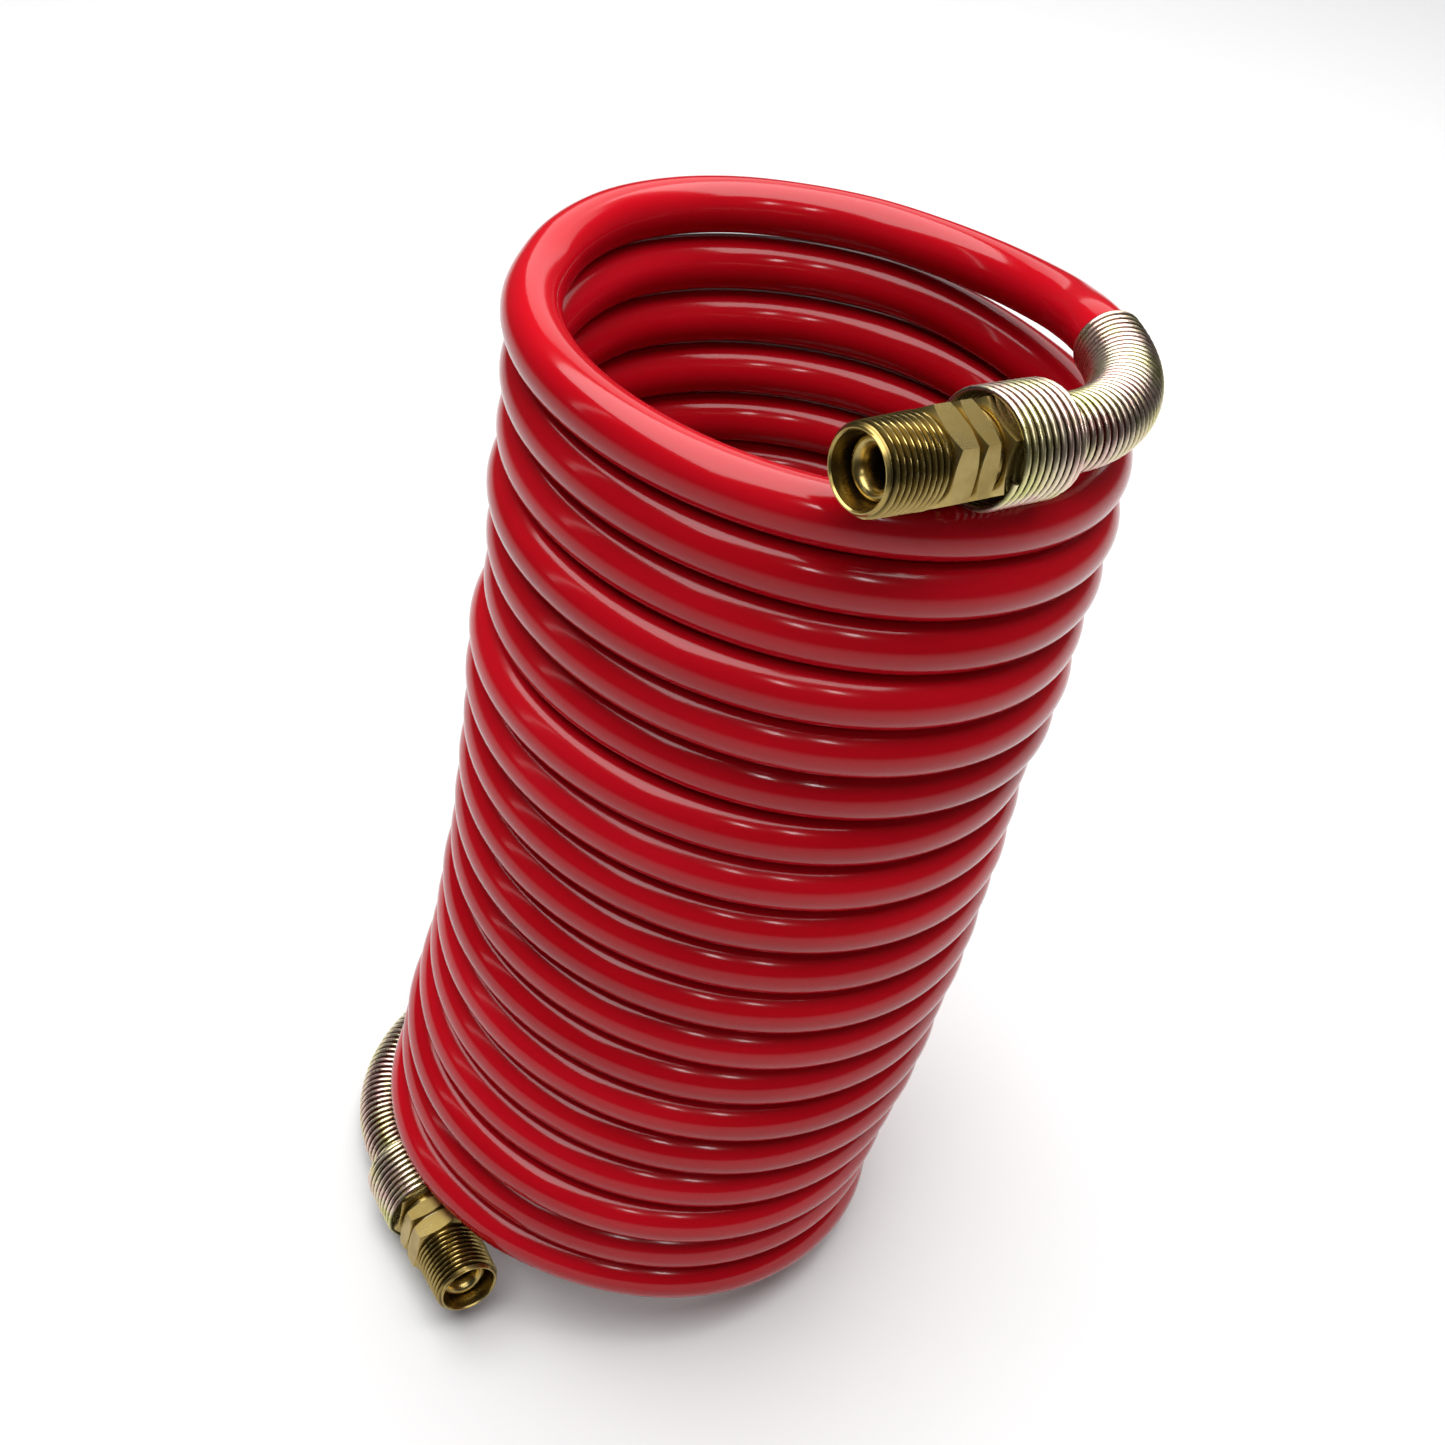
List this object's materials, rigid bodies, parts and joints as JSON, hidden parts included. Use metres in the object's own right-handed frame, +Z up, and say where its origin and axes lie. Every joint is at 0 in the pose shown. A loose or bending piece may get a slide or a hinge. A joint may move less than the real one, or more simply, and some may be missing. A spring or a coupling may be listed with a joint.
{
  "type": "self-retracting coiled air hose",
  "caption": "Close-wound coil of red plastic air hose with a swivelling male-thread fitting and a wire spring guard at each end.",
  "frame": {"origin": "on the surface it stands on, under the middle of the object's box", "axes": "+Z up; the coil's axis leans 8 degrees from +Z towards +X+Y; -Y is the side that the open end of the upper fitting points to"},
  "size_m": [0.1712, 0.1646, 0.2787],
  "materials": {
    "hose": "glossy",
    "brass": "machined satin",
    "plated_wire": "yellow zinc plate",
    "seal": "matte",
    "washer": "matte"
  },
  "bodies": {
    "coil": {"closed_turns": "hose", "bottom_tail": "hose", "bottom_stem": "brass", "bottom_o_ring": "seal", "bottom_thrust_washer": "washer", "bottom_nut": "brass", "bottom_ferrule": "brass", "bottom_tube_insert": "brass", "bottom_tube_end": "hose", "bottom_guard_mouth": "plated_wire", "bottom_guard_sleeve": "plated_wire"},
    "bottom_swivel_nipple": {"bottom_nipple": "brass"},
    "turn_1": {"open_turn_1": "hose"},
    "turn_2": {"open_turn_2": "hose"},
    "turn_3": {"open_turn_3": "hose"},
    "turn_4": {"open_turn_4": "hose"},
    "turn_5": {"open_turn_5": "hose"},
    "turn_6": {"open_turn_6": "hose"},
    "turn_7": {"open_turn_7": "hose"},
    "top_end": {"open_turn_8": "hose", "top_tail": "hose", "top_stem": "brass", "top_o_ring": "seal", "top_thrust_washer": "washer", "top_nut": "brass", "top_ferrule": "brass", "top_tube_insert": "brass", "top_tube_end": "hose", "top_guard_mouth": "plated_wire", "top_guard_sleeve": "plated_wire"},
    "top_swivel_nipple": {"top_nipple": "brass"}
  },
  "joints": [
    {"name": "bottom_swivel", "type": "hinge", "parent": "coil", "child": "bottom_swivel_nipple", "pos_m": [-0.04766, -0.06354, 0.01468], "axis": [0.6099, -0.7824, 0.1262], "continuous": true},
    {"name": "pull_out_1", "type": "slide", "parent": "coil", "child": "turn_1", "axis": [0.0984, 0.0984, 0.9903], "range_m": [0, 0.03], "stiffness_N_per_m": 600},
    {"name": "pull_out_2", "type": "slide", "parent": "turn_1", "child": "turn_2", "axis": [0.0984, 0.0984, 0.9903], "range_m": [0, 0.03], "stiffness_N_per_m": 600},
    {"name": "pull_out_3", "type": "slide", "parent": "turn_2", "child": "turn_3", "axis": [0.0984, 0.0984, 0.9903], "range_m": [0, 0.03], "stiffness_N_per_m": 600},
    {"name": "pull_out_4", "type": "slide", "parent": "turn_3", "child": "turn_4", "axis": [0.0984, 0.0984, 0.9903], "range_m": [0, 0.03], "stiffness_N_per_m": 600},
    {"name": "pull_out_5", "type": "slide", "parent": "turn_4", "child": "turn_5", "axis": [0.0984, 0.0984, 0.9903], "range_m": [0, 0.03], "stiffness_N_per_m": 600},
    {"name": "pull_out_6", "type": "slide", "parent": "turn_5", "child": "turn_6", "axis": [0.0984, 0.0984, 0.9903], "range_m": [0, 0.03], "stiffness_N_per_m": 600},
    {"name": "pull_out_7", "type": "slide", "parent": "turn_6", "child": "turn_7", "axis": [0.0984, 0.0984, 0.9903], "range_m": [0, 0.03], "stiffness_N_per_m": 600},
    {"name": "pull_out_8", "type": "slide", "parent": "turn_7", "child": "top_end", "axis": [0.0984, 0.0984, 0.9903], "range_m": [0, 0.03], "stiffness_N_per_m": 600},
    {"name": "top_swivel", "type": "hinge", "parent": "top_end", "child": "top_swivel_nipple", "pos_m": [0.03985, -0.04649, 0.26778], "axis": [-0.6984, -0.6984, 0.1564], "continuous": true}
  ],
  "couplings": [
    {"joint": "pull_out_2", "follows": "pull_out_1", "ratio": 1},
    {"joint": "pull_out_3", "follows": "pull_out_1", "ratio": 1},
    {"joint": "pull_out_4", "follows": "pull_out_1", "ratio": 1},
    {"joint": "pull_out_5", "follows": "pull_out_1", "ratio": 1},
    {"joint": "pull_out_6", "follows": "pull_out_1", "ratio": 1},
    {"joint": "pull_out_7", "follows": "pull_out_1", "ratio": 1},
    {"joint": "pull_out_8", "follows": "pull_out_1", "ratio": 1}
  ]
}
